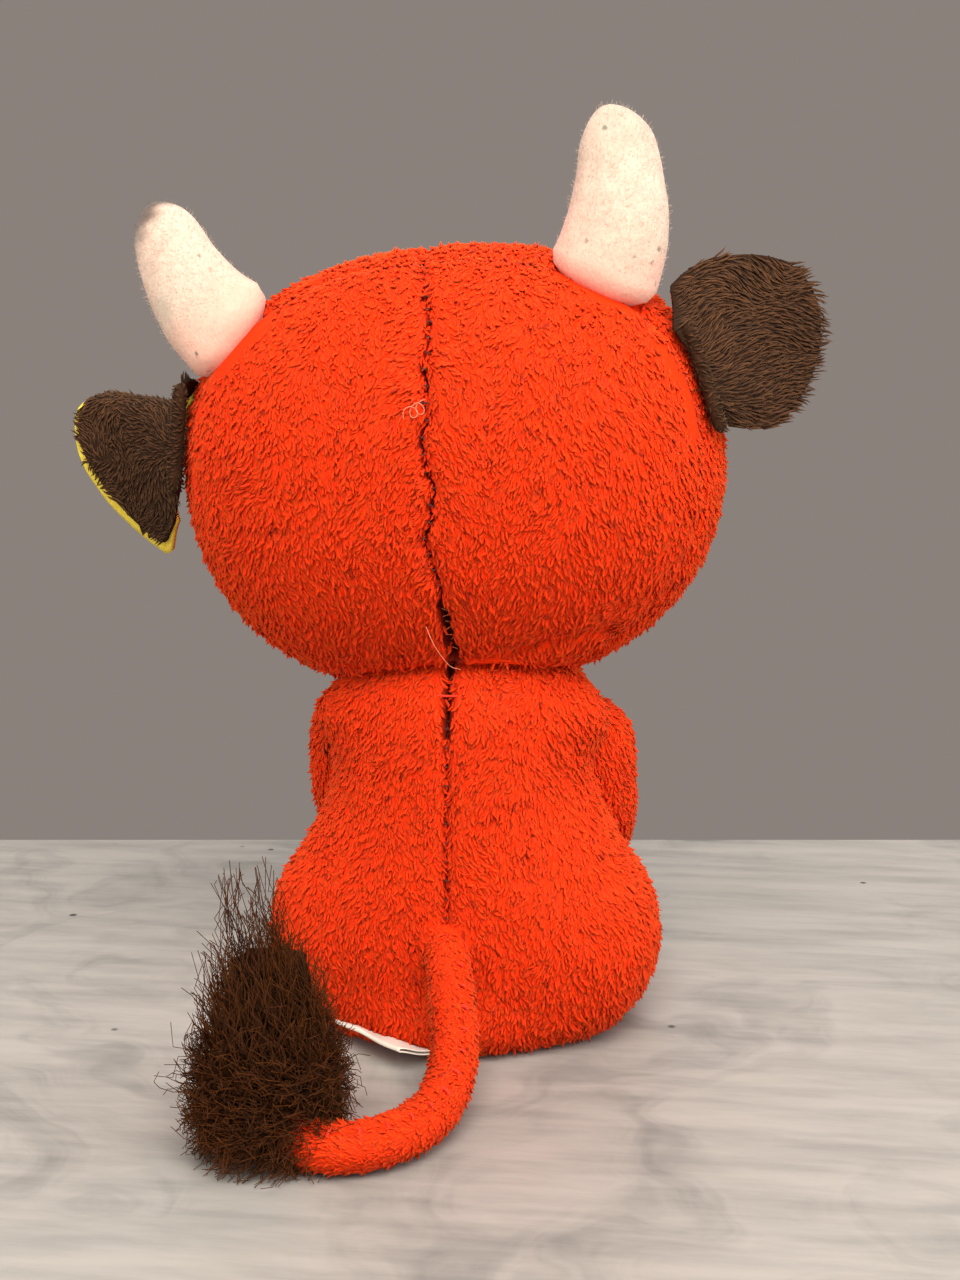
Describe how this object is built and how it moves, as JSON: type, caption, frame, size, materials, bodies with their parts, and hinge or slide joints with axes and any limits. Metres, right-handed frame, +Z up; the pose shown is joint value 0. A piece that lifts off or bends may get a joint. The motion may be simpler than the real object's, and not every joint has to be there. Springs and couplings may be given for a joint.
{
  "type": "plush cow",
  "caption": "Small sitting plush cow with stuffed felt horns, lined ears, short legs and a tufted tail, sewn from plush panels.",
  "frame": {"origin": "middle of the flat seat, on the surface that the toy sits on", "axes": "+Z up, the toy faces -Y and its back and tail point to +Y, its left side is +X"},
  "size_m": [0.1134, 0.1045, 0.1373],
  "materials": {
    "red_plush": "short brushed pile, orange red",
    "cream_plush": "short brushed pile, cream",
    "brown_plush": "short streaky pile, dark brown",
    "brown_long_pile": "long loose pile, dark brown",
    "yellow_felt": "matt felt, bright yellow",
    "cream_felt": "brushed felt, cream, a little soiled",
    "brown_thread": "embroidery thread",
    "red_thread": "sewing thread",
    "white_ribbon": "woven satin ribbon, blank",
    "polyester_fibre": "loose fibre filling",
    "pellet_fabric": "thin nonwoven bag of pellets",
    "black_eye": "polished",
    "white_plastic": "moulded"
  },
  "bodies": {
    "torso": {"back_panel_left": "red_plush", "back_panel_right": "red_plush", "belly_panel": "red_plush", "base_panel": "red_plush", "body_stuffing": "polyester_fibre", "pellet_bag": "pellet_fabric", "sewn_label": "white_ribbon"},
    "neck": {"neck_thread": "red_thread"},
    "head": {"head_back_panel_left": "red_plush", "head_back_panel_right": "red_plush", "face_panel_left": "red_plush", "face_panel_right": "red_plush", "muzzle_panel": "cream_plush", "head_stuffing": "polyester_fibre", "mouth_embroidery": "brown_thread", "nostril_left": "brown_thread", "nostril_right": "brown_thread", "head_closing_thread": "red_thread", "eye_left": "black_eye", "eye_right": "black_eye", "eye_washer_left": "white_plastic", "eye_washer_right": "white_plastic"},
    "left_horn": {"horn_cover_left": "cream_felt", "horn_stuffing_left": "polyester_fibre"},
    "right_horn": {"horn_cover_right": "cream_felt", "horn_stuffing_right": "polyester_fibre"},
    "left_ear": {"ear_back_left": "brown_plush", "ear_lining_left": "yellow_felt"},
    "right_ear": {"ear_back_right": "brown_plush", "ear_lining_right": "yellow_felt"},
    "left_foreleg": {"foreleg_cover_left": "red_plush", "foreleg_hoof_left": "brown_plush", "foreleg_stuffing_left": "polyester_fibre"},
    "right_foreleg": {"foreleg_cover_right": "red_plush", "foreleg_hoof_right": "brown_plush", "foreleg_stuffing_right": "polyester_fibre"},
    "left_hind_leg": {"hind_leg_cover_left": "red_plush", "hind_leg_hoof_left": "brown_plush", "hind_leg_stuffing_left": "polyester_fibre"},
    "right_hind_leg": {"hind_leg_cover_right": "red_plush", "hind_leg_hoof_right": "brown_plush", "hind_leg_stuffing_right": "polyester_fibre"},
    "tail_root": {"tail_root_cover": "red_plush"},
    "tail_end": {"tail_end_cover": "red_plush", "tail_tuft": "brown_long_pile"}
  },
  "joints": [
    {"name": "head_turn", "type": "hinge", "parent": "torso", "child": "neck", "pos_m": [0, 0, 0.047], "axis": [0, 0, 1], "range_deg": [-35, 35], "stiffness_Nm_per_rad": 0.05},
    {"name": "head_tilt", "type": "hinge", "parent": "neck", "child": "head", "pos_m": [0, 0, 0.047], "axis": [0, 1, 0], "range_deg": [-12, 2], "stiffness_Nm_per_rad": 0.15},
    {"name": "left_horn_bend", "type": "hinge", "parent": "head", "child": "left_horn", "pos_m": [0.03375, 0.009, 0.10647], "axis": [0.2258, 0.9613, 0.1581], "range_deg": [-10, 10], "stiffness_Nm_per_rad": 0.005},
    {"name": "right_horn_bend", "type": "hinge", "parent": "head", "child": "right_horn", "pos_m": [-0.02127, 0.009, 0.11473], "axis": [0, 1, 0], "range_deg": [-10, 10], "stiffness_Nm_per_rad": 0.005},
    {"name": "left_ear_fold", "type": "hinge", "parent": "head", "child": "left_ear", "pos_m": [0.04163, 0.009, 0.09048], "axis": [0.0872, 0, -0.9962], "range_deg": [-50, 5], "stiffness_Nm_per_rad": 0.002},
    {"name": "right_ear_fold", "type": "hinge", "parent": "head", "child": "right_ear", "pos_m": [-0.03558, 0.009, 0.09995], "axis": [0.3256, 0, 0.9455], "range_deg": [-50, 15], "stiffness_Nm_per_rad": 0.002},
    {"name": "left_foreleg_swing", "type": "hinge", "parent": "torso", "child": "left_foreleg", "pos_m": [0.01832, -0.006, 0.0435], "axis": [-1, 0, 0], "range_deg": [-5, 35], "stiffness_Nm_per_rad": 0.005},
    {"name": "right_foreleg_swing", "type": "hinge", "parent": "torso", "child": "right_foreleg", "pos_m": [-0.0184, -0.006, 0.043], "axis": [-1, 0, 0], "range_deg": [-5, 35], "stiffness_Nm_per_rad": 0.005},
    {"name": "left_hind_leg_lift", "type": "hinge", "parent": "torso", "child": "left_hind_leg", "pos_m": [0.0175, -0.01687, 0.0088], "axis": [-1, 0, 0], "range_deg": [0, 15], "stiffness_Nm_per_rad": 0.005},
    {"name": "right_hind_leg_lift", "type": "hinge", "parent": "torso", "child": "right_hind_leg", "pos_m": [-0.0175, -0.01687, 0.0088], "axis": [-1, 0, 0], "range_deg": [0, 15], "stiffness_Nm_per_rad": 0.005},
    {"name": "tail_swing", "type": "hinge", "parent": "torso", "child": "tail_root", "pos_m": [0, 0.0195, 0.018], "axis": [0, 0, 1], "range_deg": [-20, 20], "stiffness_Nm_per_rad": 0.005},
    {"name": "tail_curl", "type": "hinge", "parent": "tail_root", "child": "tail_end", "pos_m": [-0.00261, 0.04724, 0.00433], "axis": [0, 0, 1], "range_deg": [-30, 30], "stiffness_Nm_per_rad": 0.003}
  ]
}
